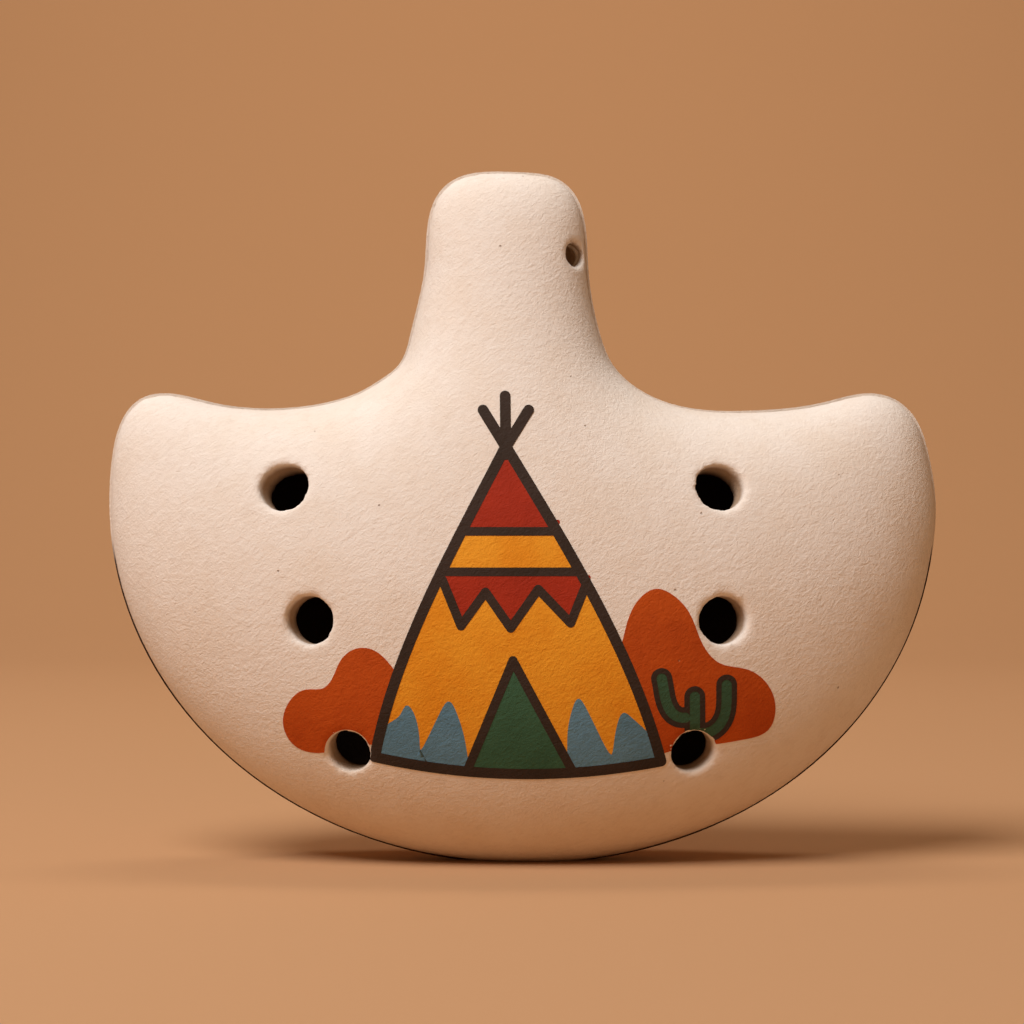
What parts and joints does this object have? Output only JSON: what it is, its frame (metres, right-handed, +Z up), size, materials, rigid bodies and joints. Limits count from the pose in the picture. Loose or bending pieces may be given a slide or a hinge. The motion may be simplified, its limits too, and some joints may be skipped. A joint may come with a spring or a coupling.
{
  "type": "ocarina",
  "caption": "Hand-held ceramic vessel flute with a flat neck mouthpiece, two rounded wings, finger holes on the front and painted desert scene.",
  "frame": {"origin": "middle of the small flat foot under the belly, in the plane where the two halves join", "axes": "+Z up through the neck, -Y towards the finger-hole side, +X to the right as seen from the front"},
  "size_m": [0.1204, 0.0371, 0.1002],
  "materials": {
    "white_engobe": "matte white slip over fired earthenware, fine brushed grain",
    "brown_slip": "matte brown clay slip in the joint",
    "black_brown_slip": "matte brush line",
    "red_slip": "matte painted slip",
    "yellow_slip": "matte painted slip",
    "green_slip": "matte painted slip",
    "blue_slip": "matte painted slip",
    "orange_slip": "matte painted slip"
  },
  "bodies": {
    "root": {"front_shell": "white_engobe", "back_shell": "white_engobe", "seam_slip": "brown_slip", "tent_outline": "black_brown_slip", "tent_red": "red_slip", "tent_yellow": "yellow_slip", "tent_door_green": "green_slip", "tent_blue_peaks": "blue_slip", "orange_rocks": "orange_slip", "cactus_outline": "black_brown_slip", "cactus_green": "green_slip"}
  },
  "joints": []
}
